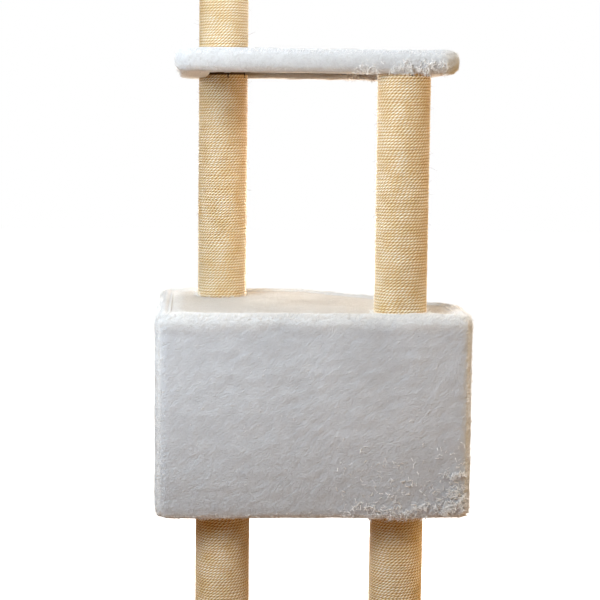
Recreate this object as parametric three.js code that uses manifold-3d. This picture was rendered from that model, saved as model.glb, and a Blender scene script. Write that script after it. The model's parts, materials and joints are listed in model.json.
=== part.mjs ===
// A tall cat tree: a covered base, three posts, a corner condo, two posts, a platform, a post and a perch.
// Millimetres, +Z up, +X to the right along the condo's long flat front, +Y towards its back.
// The origin is on the floor, under the middle of the base.

import * as THREE from "three";
import { mergeVertices } from "three/addons/utils/BufferGeometryUtils.js";
import Module from "manifold-3d";

const wasm = await Module();
wasm.setup();

// ---------- driving dimensions ----------

const gap = 0.3; // between pieces that touch
const plush = 8; // thickness of the plush, backing and pile
const hemWidth = 48; // how far the plush is folded under a board
const baseHem = 5; // the same fold, pressed flat under the base

const post = { length: 420, ropeInner: 40, tubeWall: 4, plugHeight: 24 };
const upperRope = 45; // outer radius of the rope on the posts above the condo
const lowerRope = 46.5; // the lower posts are wound a little fatter
const centres = {
  frontLeft: { x: -150, y: -120 },
  frontRight: { x: 153, y: -120 },
  backLeft: { x: -151, y: 121 }, // three posts stand in line here
  roofRight: { x: 148, y: -165 },
};

const base = { width: 620, depth: 530, board: 18, footHeight: 8, footRadius: 16, footInset: 75 };
const condo = { width: 531, depth: 440, height: 341, cut: 257, plate: 15, wall: 12, entrance: 105 };
const platform = { left: -234, right: 236, taper: 30, front: -219, depth: 408, board: 20, topPlush: 10 };
const perch = { side: 280, board: 18 };

const bolt = { radius: 4, clearance: 4.5, headRadius: 9, headHeight: 5.4, grip: 17 };
const sink = { depth: 6.2, radius: 10 }; // the recess that hides a bolt's head
const matThickness = 8;

// ---------- heights, from the floor up ----------

const baseBoardZ = base.footHeight;
const baseTopZ = baseBoardZ + base.board;
const floorZ = baseTopZ + post.length;
const condoZ = floorZ - plush;
const roofTopZ = condoZ + condo.height - plush;
const roofZ = roofTopZ - condo.plate;
const floorTopZ = floorZ + condo.plate;
const platformZ = roofTopZ + post.length;
const platformTopZ = platformZ + platform.board;
const perchZ = platformTopZ + post.length;
const perchTopZ = perchZ + perch.board;

// ---------- materials ----------

function finish(color, roughness, metalness = 0) {
  return new THREE.MeshStandardMaterial({ color, roughness, metalness });
}

const materials = {
  plush: finish(0xe3e4e6, 0.95),
  sisal: finish(0xd9bd85, 0.9),
  board: finish(0xc9a27a, 0.8),
  card: finish(0xa98a63, 0.9),
  plug: finish(0xd8bf94, 0.75),
  steel: finish(0xb9bcc0, 0.35, 1),
  foot: finish(0x26272a, 0.6),
};

// ---------- solids: joining and cutting ----------

function asSolid(geometry) {
  const bare = geometry.clone();
  bare.deleteAttribute("normal");
  bare.deleteAttribute("uv");
  const merged = mergeVertices(bare, 1e-3);
  const corners = merged.index.array;
  const kept = [];
  for (let i = 0; i < corners.length; i += 3) {
    const [a, b, c] = corners.slice(i, i + 3);
    if (a !== b && b !== c && c !== a) kept.push(a, b, c);
  }
  return new wasm.Manifold(
    new wasm.Mesh({
      numProp: 3,
      vertProperties: Float32Array.from(merged.attributes.position.array),
      triVerts: Uint32Array.from(kept),
    })
  );
}

function asGeometry(solid) {
  const mesh = solid.getMesh();
  const geometry = new THREE.BufferGeometry();
  geometry.setAttribute("position", new THREE.BufferAttribute(Float32Array.from(mesh.vertProperties), 3));
  geometry.setIndex(new THREE.BufferAttribute(Uint32Array.from(mesh.triVerts), 1));
  geometry.computeVertexNormals();
  return geometry;
}

function cut(geometry, cutters) {
  const left = cutters.reduce((solid, cutter) => solid.subtract(asSolid(cutter)), asSolid(geometry));
  return asGeometry(left);
}

// ---------- outlines ----------

function rectangle(left, front, right, back) {
  const corners = [[left, front], [right, front], [right, back], [left, back]];
  return corners.map(([x, y]) => new THREE.Vector2(x, y));
}

// Moves every side of an anticlockwise outline inwards by a distance.
function inset(outline, distance) {
  const sides = outline.map((from, i) => {
    const along = outline[(i + 1) % outline.length].clone().sub(from).normalize();
    const inwards = new THREE.Vector2(-along.y, along.x);
    return { start: from.clone().addScaledVector(inwards, distance), along };
  });
  return sides.map((side, i) => {
    const last = sides[(i + sides.length - 1) % sides.length];
    const between = side.start.clone().sub(last.start);
    const reach = between.cross(side.along) / last.along.cross(side.along);
    return last.start.clone().addScaledVector(last.along, reach);
  });
}

// Rounds every corner of an outline; radii is one number, or one for each corner.
function rounded(outline, radii) {
  const shape = new THREE.Shape();
  outline.forEach((corner, i) => {
    const radius = Array.isArray(radii) ? radii[i] : radii;
    const before = outline[(i + outline.length - 1) % outline.length].clone().sub(corner).normalize();
    const after = outline[(i + 1) % outline.length].clone().sub(corner).normalize();
    const start = corner.clone().addScaledVector(before, radius);
    const end = corner.clone().addScaledVector(after, radius);
    if (i === 0) shape.moveTo(start.x, start.y);
    else shape.lineTo(start.x, start.y);
    shape.quadraticCurveTo(corner.x, corner.y, end.x, end.y);
  });
  shape.closePath();
  return shape;
}

// ---------- basic shapes ----------

function slab(shape, bottom, top) {
  const options = { depth: top - bottom, bevelEnabled: false, curveSegments: 4 };
  return new THREE.ExtrudeGeometry(shape, options).translate(0, 0, bottom);
}

// A slab with a padded, rounded rim: rim is how deep the rounding goes.
function paddedSlab(shape, bottom, top, rim) {
  const geometry = new THREE.ExtrudeGeometry(shape, {
    depth: top - bottom - 2 * rim,
    bevelThickness: rim,
    bevelSize: rim,
    bevelOffset: -rim,
    bevelSegments: 3,
    curveSegments: 4,
  });
  return geometry.translate(0, 0, bottom + rim);
}

function upright(radius, bottom, top, x = 0, y = 0, segments = 40) {
  const geometry = new THREE.CylinderGeometry(radius, radius, top - bottom, segments);
  return geometry.rotateX(Math.PI / 2).translate(x, y, (top + bottom) / 2);
}

function turned(profile, segments) {
  const points = profile.map(([radius, height]) => new THREE.Vector2(radius, height));
  return new THREE.LatheGeometry(points, segments).rotateX(Math.PI / 2);
}

function sleeve(inner, outer, bottom, top, segments) {
  return turned([[inner, bottom], [outer, bottom], [outer, top], [inner, top], [inner, bottom]], segments);
}

// ---------- the group ----------

const catTree = new THREE.Group();

function add(name, geometry, material, x = 0, y = 0, z = 0) {
  const mesh = new THREE.Mesh(geometry, material);
  mesh.name = name;
  mesh.position.set(x, y, z);
  catTree.add(mesh);
  return mesh;
}

// ---------- fasteners ----------

// A pan-head bolt with a hexagonal socket. Its head stands on z = 0 and its shank points down.
function boltGeometry(plateThickness) {
  const shank = plateThickness - sink.depth + bolt.grip;
  const { radius, headRadius, headHeight } = bolt;
  const body = turned(
    [[0, -shank], [radius - 1, -shank], [radius, -shank + 1], [radius, 0], [headRadius, 0],
      [headRadius, 1.6], [headRadius - 2.2, headHeight], [0, headHeight]],
    16
  );
  const socket = upright(2.9, headHeight - 3, headHeight + 1, 0, 0, 6);
  return cut(body, [socket]);
}

function addBolt(name, x, y, headZ, plateThickness, pointsUp) {
  const mesh = add(name, boltGeometry(plateThickness), materials.steel, x, y, headZ);
  if (pointsUp) mesh.rotation.x = Math.PI;
}

// The hole through a board for a bolt, with its head sunk below the top or the bottom face.
function boltHole(x, y, bottom, top, headOnTop) {
  const hole = upright(bolt.clearance, bottom - 1, top + 1, x, y, 16);
  const recess = headOnTop
    ? upright(sink.radius, top - sink.depth, top + 1, x, y, 20)
    : upright(sink.radius, bottom - 1, bottom + sink.depth, x, y, 20);
  return [hole, recess];
}

// ---------- posts ----------

function addPost(name, x, y, bottom, ropeRadius) {
  const { length, ropeInner, tubeWall, plugHeight } = post;
  const tubeRadius = ropeInner - gap;
  const low = gap;
  const high = length - gap;
  const rope = sleeve(ropeInner, ropeRadius, low, high, 40);
  const tube = sleeve(tubeRadius - tubeWall, tubeRadius, low, high, 32);
  const plug = sleeve(bolt.clearance, tubeRadius - tubeWall - gap, 0, plugHeight, 24);
  add(`${name}_rope`, rope, materials.sisal, x, y, bottom);
  add(`${name}_tube`, tube, materials.card, x, y, bottom);
  add(`${name}_lower_plug`, plug, materials.plug, x, y, bottom + low);
  add(`${name}_upper_plug`, plug, materials.plug, x, y, bottom + high - plugHeight);
}

const lowerPosts = [
  { name: "front_left_lower_post", ...centres.frontLeft },
  { name: "front_right_lower_post", ...centres.frontRight },
  { name: "back_left_lower_post", ...centres.backLeft },
];
const upperPosts = [
  { name: "left_upper_post", ...centres.backLeft },
  { name: "right_upper_post", ...centres.roofRight },
];
const topPost = { name: "top_post", ...centres.backLeft };

lowerPosts.forEach(({ name, x, y }) => addPost(name, x, y, baseTopZ, lowerRope));
upperPosts.forEach(({ name, x, y }) => addPost(name, x, y, roofTopZ, upperRope));
addPost(topPost.name, topPost.x, topPost.y, platformTopZ, upperRope);

function postHoles(posts, ropeRadius, bottom, top) {
  return posts.map(({ x, y }) => upright(ropeRadius + gap, bottom, top, x, y));
}

// ---------- covered boards: base, platform and perch ----------

// The plush over a board: open underneath inside its hem, and cut out round the posts.
function boardCover(outer, shell, holes) {
  const { bottom, top, rim, boardBottom, boardTop, side, radii } = shell;
  const outside = paddedSlab(rounded(outer, radii), bottom, top, rim);
  const room = slab(rounded(inset(outer, side - gap), 4), boardBottom - gap, boardTop + gap);
  const window = slab(rounded(inset(outer, hemWidth), 6), bottom - 1, boardBottom);
  return cut(outside, [room, window, ...holes]);
}

function addBase() {
  const outer = rectangle(-base.width / 2, -base.depth / 2, base.width / 2, base.depth / 2);
  const board = slab(rounded(inset(outer, plush), 4), baseBoardZ, baseTopZ);
  const boltHoles = lowerPosts.flatMap(({ x, y }) => boltHole(x, y, baseBoardZ, baseTopZ, false));
  add("base_board", cut(board, boltHoles), materials.board);
  const shell = {
    bottom: baseBoardZ - baseHem, top: baseTopZ + plush, rim: 9,
    boardBottom: baseBoardZ, boardTop: baseTopZ, side: plush, radii: 26,
  };
  const holes = postHoles(lowerPosts, lowerRope, baseTopZ, baseTopZ + 2 * plush);
  add("base_cover", boardCover(outer, shell, holes), materials.plush);

  const footX = base.width / 2 - base.footInset;
  const footY = base.depth / 2 - base.footInset;
  const foot = turned([[0, 0], [base.footRadius - 2, 0], [base.footRadius, 2],
    [base.footRadius, base.footHeight - gap], [0, base.footHeight - gap]], 24);
  const corners = { front_left: [-1, -1], front_right: [1, -1], back_left: [-1, 1], back_right: [1, 1] };
  for (const [corner, [x, y]] of Object.entries(corners)) {
    add(`${corner}_foot`, foot, materials.foot, x * footX, y * footY);
  }
  lowerPosts.forEach(({ name, x, y }) => {
    addBolt(`${name}_base_bolt`, x, y, baseBoardZ + sink.depth - gap, base.board, true);
  });
}

function addPlatform() {
  const { left, right, taper, front, depth, board, topPlush } = platform;
  const back = front + depth;
  const outer = [[left, front], [right, front], [right - taper, back], [left, back]]
    .map(([x, y]) => new THREE.Vector2(x, y));
  const plate = slab(rounded(inset(outer, plush), [12, 26, 70, 22]), platformZ, platformTopZ);
  const rightPost = upperPosts[1];
  const stud = upright(bolt.clearance, platformZ - 1, platformTopZ + 1, topPost.x, topPost.y, 16);
  const holes = [stud, ...boltHole(rightPost.x, rightPost.y, platformZ, platformTopZ, true)];
  add("platform_board", cut(plate, holes), materials.board);
  const shell = {
    bottom: platformZ - plush, top: platformTopZ + topPlush, rim: 16,
    boardBottom: platformZ, boardTop: platformTopZ, side: plush, radii: [26, 34, 80, 30],
  };
  const around = [
    ...postHoles(upperPosts, upperRope, platformZ - 2 * plush, platformZ),
    ...postHoles([topPost], upperRope, platformTopZ, platformTopZ + 2 * topPlush),
  ];
  add("platform_cover", boardCover(outer, shell, around), materials.plush);

  addBolt("platform_bolt", rightPost.x, rightPost.y, platformTopZ - sink.depth + gap, board, false);
  const studLength = board + 2 * bolt.grip;
  const rod = turned([[0, 0], [bolt.radius - 1, 0], [bolt.radius, 1],
    [bolt.radius, studLength - 1], [bolt.radius - 1, studLength], [0, studLength]], 16);
  add("platform_stud", rod, materials.steel, topPost.x, topPost.y, platformZ - bolt.grip);
}

function addPerch() {
  const half = perch.side / 2;
  const { x, y } = topPost;
  const outer = rectangle(x - half, y - half, x + half, y + half);
  const plate = slab(rounded(inset(outer, plush), 22), perchZ, perchTopZ);
  add("perch_board", cut(plate, boltHole(x, y, perchZ, perchTopZ, true)), materials.board);
  const shell = {
    bottom: perchZ - plush, top: perchTopZ + platform.topPlush, rim: 16,
    boardBottom: perchZ, boardTop: perchTopZ, side: plush, radii: 34,
  };
  const holes = postHoles([topPost], upperRope, perchZ - 2 * plush, perchZ);
  add("perch_cover", boardCover(outer, shell, holes), materials.plush);
  addBolt("perch_bolt", x, y, perchTopZ - sink.depth + gap, perch.board, false);
}

// ---------- condo: a box with one corner cut off, and the way in through that cut ----------

const outerWalls = [
  [-condo.width / 2, -condo.depth / 2],
  [condo.width / 2, -condo.depth / 2],
  [condo.width / 2, condo.depth / 2 - condo.cut],
  [condo.width / 2 - condo.cut, condo.depth / 2],
  [-condo.width / 2, condo.depth / 2],
].map(([x, y]) => new THREE.Vector2(x, y));
const wallNames = ["front_wall", "right_wall", "entrance_wall", "back_wall", "left_wall"];

// The middle of the entrance, halfway along the cut and halfway up the room.
const entranceCentre = outerWalls[2].clone().add(outerWalls[3]).multiplyScalar(0.5);
const entranceZ = (floorTopZ + roofZ) / 2;

// Turns a shape made along +Z so that it looks out of the entrance.
function throughEntrance(geometry) {
  const { x, y } = entranceCentre;
  return geometry.rotateX(-Math.PI / 2).rotateZ(-Math.PI / 4).translate(x, y, entranceZ);
}

function entranceHole(radius) {
  return throughEntrance(upright(radius, -4 * condo.wall, 4 * condo.wall));
}

function addCondoBoards() {
  const boards = inset(outerWalls, plush);
  const inside = inset(boards, condo.wall);
  const floor = slab(rounded(boards, 3), floorZ, floorTopZ);
  const floorHoles = lowerPosts.flatMap(({ x, y }) => boltHole(x, y, floorZ, floorTopZ, true));
  add("condo_floor", cut(floor, floorHoles), materials.board);
  const roof = slab(rounded(boards, 3), roofZ, roofTopZ);
  const roofHoles = upperPosts.flatMap(({ x, y }) => boltHole(x, y, roofZ, roofTopZ, false));
  add("condo_roof", cut(roof, roofHoles), materials.board);

  // Five mitred walls, one for each side of the outline.
  wallNames.forEach((name, i) => {
    const next = (i + 1) % boards.length;
    const trim = boards[next].clone().sub(boards[i]).normalize().multiplyScalar(gap);
    const shape = new THREE.Shape([
      boards[i].clone().add(trim),
      boards[next].clone().sub(trim),
      inside[next].clone().sub(trim),
      inside[i].clone().add(trim),
    ]);
    const wall = slab(shape, floorTopZ + gap, roofZ - gap);
    const isEntrance = name === "entrance_wall";
    add(name, isEntrance ? cut(wall, [entranceHole(condo.entrance)]) : wall, materials.board);
  });

  const mat = slab(rounded(inset(inside, 2), 12), floorTopZ + gap, floorTopZ + matThickness);
  add("floor_mat", mat, materials.plush);
  lowerPosts.forEach(({ name, x, y }) => {
    addBolt(`${name}_floor_bolt`, x, y, floorTopZ - sink.depth + gap, condo.plate, false);
  });
  upperPosts.forEach(({ name, x, y }) => {
    addBolt(`${name}_roof_bolt`, x, y, roofZ + sink.depth - gap, condo.plate, true);
  });
}

function addCondoCovers() {
  const corner = 14;
  const skin = rounded(outerWalls, corner);
  const sides = slab(skin, floorZ, roofTopZ);
  const room = slab(new THREE.Shape(inset(outerWalls, plush - gap)), floorZ - 1, roofTopZ + 1);
  add("wall_cover", cut(sides, [room, entranceHole(condo.entrance)]), materials.plush);

  const top = { low: roofTopZ + gap, high: roofTopZ + plush };
  const roofHoles = postHoles(upperPosts, upperRope, top.low - 1, top.high + 1);
  add("roof_cover", cut(slab(skin, top.low, top.high), roofHoles), materials.plush);

  const underHoles = postHoles(lowerPosts, lowerRope, condoZ - 1, floorZ + 1);
  add("underside_cover", cut(slab(skin, condoZ, floorZ - gap), underHoles), materials.plush);

  // A plush-covered ring pushed into the entrance from outside, with a lip over the cover.
  const { entrance, wall } = condo;
  const ring = turned(
    [[entrance - 7, -plush - wall], [entrance - gap, -plush - wall], [entrance - gap, gap],
      [entrance + 11, gap], [entrance + 11, 4], [entrance - 2, 7], [entrance - 7, 3],
      [entrance - 7, -plush - wall]],
    40
  );
  add("entrance_ring", throughEntrance(ring), materials.plush);
}

addBase();
addCondoBoards();
addCondoCovers();
addPlatform();
addPerch();

export default catTree;
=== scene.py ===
import json
import math

import bmesh
import bpy
import numpy as np
from mathutils import Matrix, Vector


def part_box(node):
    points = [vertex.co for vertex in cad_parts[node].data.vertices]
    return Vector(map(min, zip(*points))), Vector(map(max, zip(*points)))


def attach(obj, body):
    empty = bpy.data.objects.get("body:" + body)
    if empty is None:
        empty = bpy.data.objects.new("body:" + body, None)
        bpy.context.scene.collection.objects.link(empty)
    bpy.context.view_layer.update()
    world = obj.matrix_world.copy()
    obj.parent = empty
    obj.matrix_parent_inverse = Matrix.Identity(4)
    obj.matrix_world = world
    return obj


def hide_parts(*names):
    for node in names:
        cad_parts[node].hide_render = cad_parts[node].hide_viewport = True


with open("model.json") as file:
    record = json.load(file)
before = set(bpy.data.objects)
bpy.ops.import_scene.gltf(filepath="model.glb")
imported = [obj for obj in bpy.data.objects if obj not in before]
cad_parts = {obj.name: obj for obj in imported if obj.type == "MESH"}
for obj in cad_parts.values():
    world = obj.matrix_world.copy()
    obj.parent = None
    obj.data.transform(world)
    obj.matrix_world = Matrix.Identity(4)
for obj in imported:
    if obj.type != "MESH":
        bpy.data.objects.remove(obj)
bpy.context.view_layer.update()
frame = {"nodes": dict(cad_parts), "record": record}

# ---------- sizes, in metres ----------

PLUSH = 0.008  # the plush over every board
BOARD = 0.012  # the condo's boards
HEM = 0.052  # how far the plush is folded under a board
HEM_CORNER = 0.026
LIP = 0.024  # how far the wall plush rolls over the condo's roof and floor
ROLL = 0.0045  # how far that roll stands above the roof
PROUD = 0.0012  # how far combed pile stands out beyond the cloth it was cut to
CUT = 0.257  # the condo's missing back right corner, along each wall
TAPER = 0.030  # how much further left the platform's right end is at the back
PLATFORM_RADII = (0.026, 0.034, 0.080, 0.030)
BASE_RADIUS = 0.026
PERCH_RADIUS = 0.034
VOXEL = 0.0031  # grain of the plush meshes
ROPE_THICKNESS = 0.0049
ROPE_PITCH = 0.0049  # from one turn to the next
ROPE_GROOVE = 0.0024  # how deep the groove between two turns is
ROPE_SIDE = 0.98  # how much of the half circle from groove to groove shows
ROPE_STRAND = 0.0066  # along the rope, from one strand to the next
STRAND_GROOVE = 0.0011
ROPE_LEAN = 1.55  # how many strand widths a strand moves along on its way across one turn
ROPE_ROWS = 5  # grid rows to a turn
ROPE_COLUMNS = 224  # grid columns round the post
ROPE_END = 0.0050  # how far the rope stops short of the board above
ROPE_BITE = 0.0026  # how far the plush closes in round a rope
TUBE_GAP = 0.0002

LOWER_POSTS = ["front_left_lower_post", "front_right_lower_post", "back_left_lower_post"]
UPPER_POSTS = ["left_upper_post", "right_upper_post"]
POSTS = LOWER_POSTS + UPPER_POSTS + ["top_post"]


def middle(node):
    low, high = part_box(node)
    return (low + high) / 2


# ---------- noise that is the same on every run ----------

def lattice(cells, seed):
    """A number from -1 to 1 for every whole-numbered cell."""
    x, y, z = (cells[:, k].astype(np.int64) for k in range(3))
    h = (x * 374761393 + y * 668265263 + z * 2147483647 + seed * 1442695041) & 0xFFFFFFFF
    h = ((h ^ (h >> 13)) * 1274126177) & 0xFFFFFFFF
    h = ((h ^ (h >> 16)) * 2246822519) & 0xFFFFFFFF
    return ((h ^ (h >> 15)) & 0xFFFFFF) / 0x7FFFFF - 1.0


def noise(points, size, seed=0):
    """Smooth noise from -1 to 1. Its lumps are about size across: one number, or one for each axis."""
    p = np.asarray(points, float) / size
    cell = np.floor(p)
    f = p - cell
    f = f * f * (3 - 2 * f)
    total = np.zeros(len(p))
    for corner in range(8):
        step = np.array([corner & 1, corner >> 1 & 1, corner >> 2 & 1])
        weight = np.prod(np.where(step, f, 1 - f), axis=1)
        total += weight * lattice(cell + step, seed)
    return total


def smoothstep(low, high, value):
    t = np.clip((value - low) / (high - low), 0, 1)
    return t * t * (3 - 2 * t)


# ---------- meshes ----------

def link(name, mesh):
    piece = bpy.data.objects.new(name, mesh)
    bpy.context.scene.collection.objects.link(piece)
    return piece


def fill(collection, key, values, kind=np.float32):
    collection.foreach_set(key, np.asarray(values, kind).ravel())


def smooth_shading(mesh):
    fill(mesh.polygons, "use_smooth", np.ones(len(mesh.polygons)), bool)


def mesh_piece(name, points, faces):
    """A new object from points and faces that all have the same number of corners."""
    faces = np.asarray(faces)
    mesh = bpy.data.meshes.new(name)
    mesh.vertices.add(len(points))
    fill(mesh.vertices, "co", points)
    mesh.loops.add(faces.size)
    fill(mesh.loops, "vertex_index", faces, np.int32)
    mesh.polygons.add(len(faces))
    fill(mesh.polygons, "loop_start", np.arange(0, faces.size, faces.shape[1]), np.int32)
    mesh.update(calc_edges=True)
    smooth_shading(mesh)
    return link(name, mesh)


def triples(collection, key, kind=np.float32):
    """The values that a mesh collection holds under a key, three to a row."""
    found = np.empty(len(collection) * 3, kind)
    collection.foreach_get(key, found)
    return found.reshape(-1, 3)


def coordinates(piece):
    return triples(piece.data.vertices, "co").astype(float)


def normals(piece):
    return triples(piece.data.vertex_normals, "vector").astype(float)


def move_points(piece, points):
    fill(piece.data.vertices, "co", points)
    piece.data.update()


def modify(piece, kind, **settings):
    modifier = piece.modifiers.new(kind, kind)
    for key, value in settings.items():
        setattr(modifier, key, value)


def apply_modifiers(piece):
    evaluated = piece.evaluated_get(bpy.context.evaluated_depsgraph_get())
    finished = bpy.data.meshes.new_from_object(evaluated)
    old = piece.data
    piece.modifiers.clear()
    piece.data = finished
    bpy.data.meshes.remove(old)


# ---------- outlines and rounded slabs ----------

def rectangle(low, high):
    return [(low[0], low[1]), (high[0], low[1]), (high[0], high[1]), (low[0], high[1])]


def sides(outline):
    """The corners of an anticlockwise outline, and the outward normal of each side from there."""
    corners = np.array(outline, float)
    along = np.roll(corners, -1, axis=0) - corners
    along /= np.linalg.norm(along, axis=1)[:, None]
    return corners, np.stack([along[:, 1], -along[:, 0]], axis=1)


def inner_corner(corner, before, after, distance):
    """Where the corner between two sides, given by their normals, goes when both move inwards."""
    rows = np.array([before, after])
    return np.linalg.solve(rows, rows @ corner - distance)


def shrink(outline, distance):
    """Moves every side inwards."""
    corners, outward = sides(outline)
    return [tuple(inner_corner(corner, outward[i - 1], outward[i], distance))
            for i, corner in enumerate(corners)]


def outside(points, outline):
    """How far each point is outside the nearest side of a convex outline; negative inside."""
    corners, outward = sides(outline)
    return np.max([(points[:, :2] - c) @ n for c, n in zip(corners, outward)], axis=0)


def rounded(outline, radii, inwards=0.0, steps=8):
    """The outline with round corners and its sides moved inwards, always as many points."""
    corners, outward = sides(outline)
    radii = radii if isinstance(radii, tuple) else [radii] * len(corners)
    ring = []
    for i, corner in enumerate(corners):
        centre = inner_corner(corner, outward[i - 1], outward[i], radii[i])
        start = math.atan2(outward[i - 1][1], outward[i - 1][0])
        turn = (math.atan2(outward[i][1], outward[i][0]) - start) % (2 * math.pi)
        for k in range(steps + 1):
            angle = start + turn * k / steps
            ring.append(centre + (radii[i] - inwards) * np.array([math.cos(angle), math.sin(angle)]))
    return np.array(ring)


def facing_a_side(facing, outline, low, high):
    """1 where a normal is square to a side of the outline, 0 round its corners."""
    level = facing[:, :2] / np.maximum(np.linalg.norm(facing[:, :2], axis=1), 1e-6)[:, None]
    return smoothstep(low, high, np.max(level @ sides(outline)[1].T, axis=1))


def perimeter(outline):
    corners = np.array(outline)
    return np.linalg.norm(np.roll(corners, -1, axis=0) - corners, axis=1).sum()


def extent(outline):
    return np.max(outline, axis=0) - np.min(outline, axis=0)


def stack(name, rings):
    """A closed mesh through rings of points that all have the same number of points."""
    count = len(rings[0])
    points = [tuple(p) for ring in rings for p in ring]
    faces = [tuple(reversed(range(count))), tuple(range(len(points) - count, len(points)))]
    for row in range(0, len(points) - count, count):
        for i in range(count):
            j = (i + 1) % count
            faces.append((row + i, row + j, row + count + j, row + count + i))
    mesh = bpy.data.meshes.new(name)
    mesh.from_pydata(points, [], faces)
    return link(name, mesh)


def rounded_slab(name, outline, radii, bottom, top, rim_low, rim_high, steps=6):
    """A slab whose lower and upper rims are rounded by rim_low and rim_high."""
    angles = [math.pi / 2 * k / steps for k in range(steps + 1)]
    levels = [(rim_low, angle, bottom + rim_low * (1 - math.cos(angle))) for angle in angles]
    levels += [(rim_high, angle, top - rim_high * (1 - math.cos(angle))) for angle in reversed(angles)]
    rings = []
    for rim, angle, z in levels:
        ring = rounded(outline, radii, rim * (1 - math.sin(angle)))
        rings.append([(x, y, z) for x, y in ring])
    return stack(name, rings)


def prism(outline, bottom, top):
    return stack("cutter", [[(x, y, z) for x, y in outline] for z in (bottom, top)])


def circle(centre, radius, steps=72):
    turns = [2 * math.pi * k / steps for k in range(steps)]
    return [(centre[0] + radius * math.cos(a), centre[1] + radius * math.sin(a)) for a in turns]


def spokes(angles):
    """Level unit vectors that point out at these angles from +X."""
    return np.stack([np.cos(angles), np.sin(angles), 0 * angles], axis=-1)


def rope_radius(post):
    low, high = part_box(post + "_rope")
    return (high.x - low.x) / 2


def post_cutter(post, bottom, top):
    """Cuts the hole for a post a little small, so that the pile closes round the rope."""
    return prism(circle(middle(post + "_rope"), rope_radius(post) - ROPE_BITE), bottom, top)


def cut(piece, cutters):
    for cutter in cutters:
        modify(piece, "BOOLEAN", operation="DIFFERENCE", solver="EXACT", object=cutter)
    apply_modifiers(piece)
    for cutter in cutters:
        bpy.data.objects.remove(cutter)


def remesh(piece, voxel=VOXEL, smoothing=2):
    modify(piece, "REMESH", mode="VOXEL", voxel_size=voxel)
    modify(piece, "SMOOTH", factor=0.5, iterations=smoothing)
    apply_modifiers(piece)


# ---------- the pile of the plush ----------

NAP = Vector((0.62, 0.42, 0.66)).normalized()  # the way the pile was brushed


def nap_space(points, length, width):
    """Coordinates in which noise comes out as streaks along the nap."""
    side = NAP.cross(Vector((0, 0, 1))).normalized()
    axes = np.array([NAP / length, side / width, NAP.cross(side) / width])
    return points @ axes.T


def pile_height(points, seed):
    """How far the pile stands out at each point, in metres."""
    swell = 0.0009 * noise(points, 0.11, seed) + 0.0005 * noise(points, 0.042, seed + 1)
    brushed = 0.00034 * noise(nap_space(points, 0.030, 0.0085), 1.0, seed + 2)
    fluff = 0.00030 * noise(points, 0.0065, seed + 3)
    return swell + brushed + fluff


def ruffle(piece, depth_outside, seed, amount=1.0, shape=None):
    """Gives the outer faces their pile; the faces against a board stay flat."""
    points, facing = coordinates(piece), normals(piece)
    showing = smoothstep(0.0025, 0.006, depth_outside(points))
    shift = PROUD + amount * np.minimum(pile_height(points, seed), 0.0014)
    if shape is not None:
        shift += shape(points, facing)
    move_points(piece, points + facing * (shift * showing)[:, None])
    smooth_shading(piece.data)


def mark_painted_light(piece, flat):
    """The mask that the plush material reads: 0 gives the lighter rim colour, a painted highlight; 1 gives
    the darker colour, also used as painted shade.
    """
    fill(piece.data.attributes.new("flat", "FLOAT", "POINT").data, "value", flat)


def beyond_board(outline, bottom, top):
    """How far points are outside a board of this outline."""
    def depth(points):
        return np.maximum(outside(points, outline), np.maximum(bottom - points[:, 2], points[:, 2] - top))
    return depth


def spikes(name, roots, ways, bends, lengths, radii, curl=0.0, segments=4):
    """Tapered square fibres or tufts, each bending from its way towards its bend."""
    ways = ways / np.linalg.norm(ways, axis=1)[:, None]
    across = np.cross(ways, bends + 1e-6)
    across /= np.linalg.norm(across, axis=1)[:, None]
    other = np.cross(ways, across)
    count = len(roots)
    rings = []
    for k in range(segments + 1):
        t = k / segments
        line = roots + lengths[:, None] * (t * ways + t * t * bends)
        line = line + (curl * lengths * math.sin(2 * math.pi * 0.9 * t))[:, None] * across
        width = (radii * (1 - 0.65 * t ** 2))[:, None]
        for turn in range(4):
            angle = math.pi / 2 * turn
            rings.append(line + width * (math.cos(angle) * across + math.sin(angle) * other))
    points = np.stack(rings, axis=1).reshape(-1, 3)
    faces = [(3, 2, 1, 0)]
    last = 4 * segments
    for row in range(0, last, 4):
        for turn, after in enumerate((1, 2, 3, 0)):
            faces.append((row + turn, row + after, row + 4 + after, row + 4 + turn))
    faces.append((last, last + 1, last + 2, last + 3))
    per = 4 * (segments + 1)
    faces = np.array(faces)[None] + np.arange(count)[:, None, None] * per
    return mesh_piece(name, points, faces.reshape(-1, 4))


def scatter(piece, count, weight, seed):
    """Points spread over a piece's faces as often as weight(points, normals) says, with normals."""
    mesh = piece.data
    mesh.calc_loop_triangles()
    a, b, c = coordinates(piece)[triples(mesh.loop_triangles, "vertices", np.int32).T]
    facing = np.cross(b - a, c - a)
    size = np.linalg.norm(facing, axis=1)
    facing /= np.maximum(size, 1e-12)[:, None]
    chance = size * weight((a + b + c) / 3, facing)
    rng = np.random.default_rng(seed)
    chosen = rng.choice(len(size), count, p=chance / chance.sum())
    u, v = rng.random((2, count, 1))
    u, v = np.where(u + v > 1, 1 - u, u), np.where(u + v > 1, 1 - v, v)
    return a[chosen] + u * (b - a)[chosen] + v * (c - a)[chosen], facing[chosen]


def tufts(name, piece, count, weight, seed, length, radius, curl=0.0, lie=1.1):
    """Little locks of pile standing proud of a plush piece and lying over along its nap."""
    roots, facing = scatter(piece, count, weight, seed)
    rng = np.random.default_rng(seed + 1)
    lengths = rng.uniform(*length, count)
    stray = rng.normal(0, 0.35, (count, 3))
    ways = facing + stray
    nap = np.array(NAP)
    bends = lie * (nap - facing * (facing @ nap)[:, None]) + 0.6 * stray
    radii = radius * rng.uniform(0.6, 1.2, count)
    curls = curl * rng.choice([-1, 1], count)
    roots = roots - facing * 0.0010
    return spikes(name, roots, ways, bends, lengths, radii, curls, 4 if curl else 2)


# ---------- materials ----------

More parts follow.
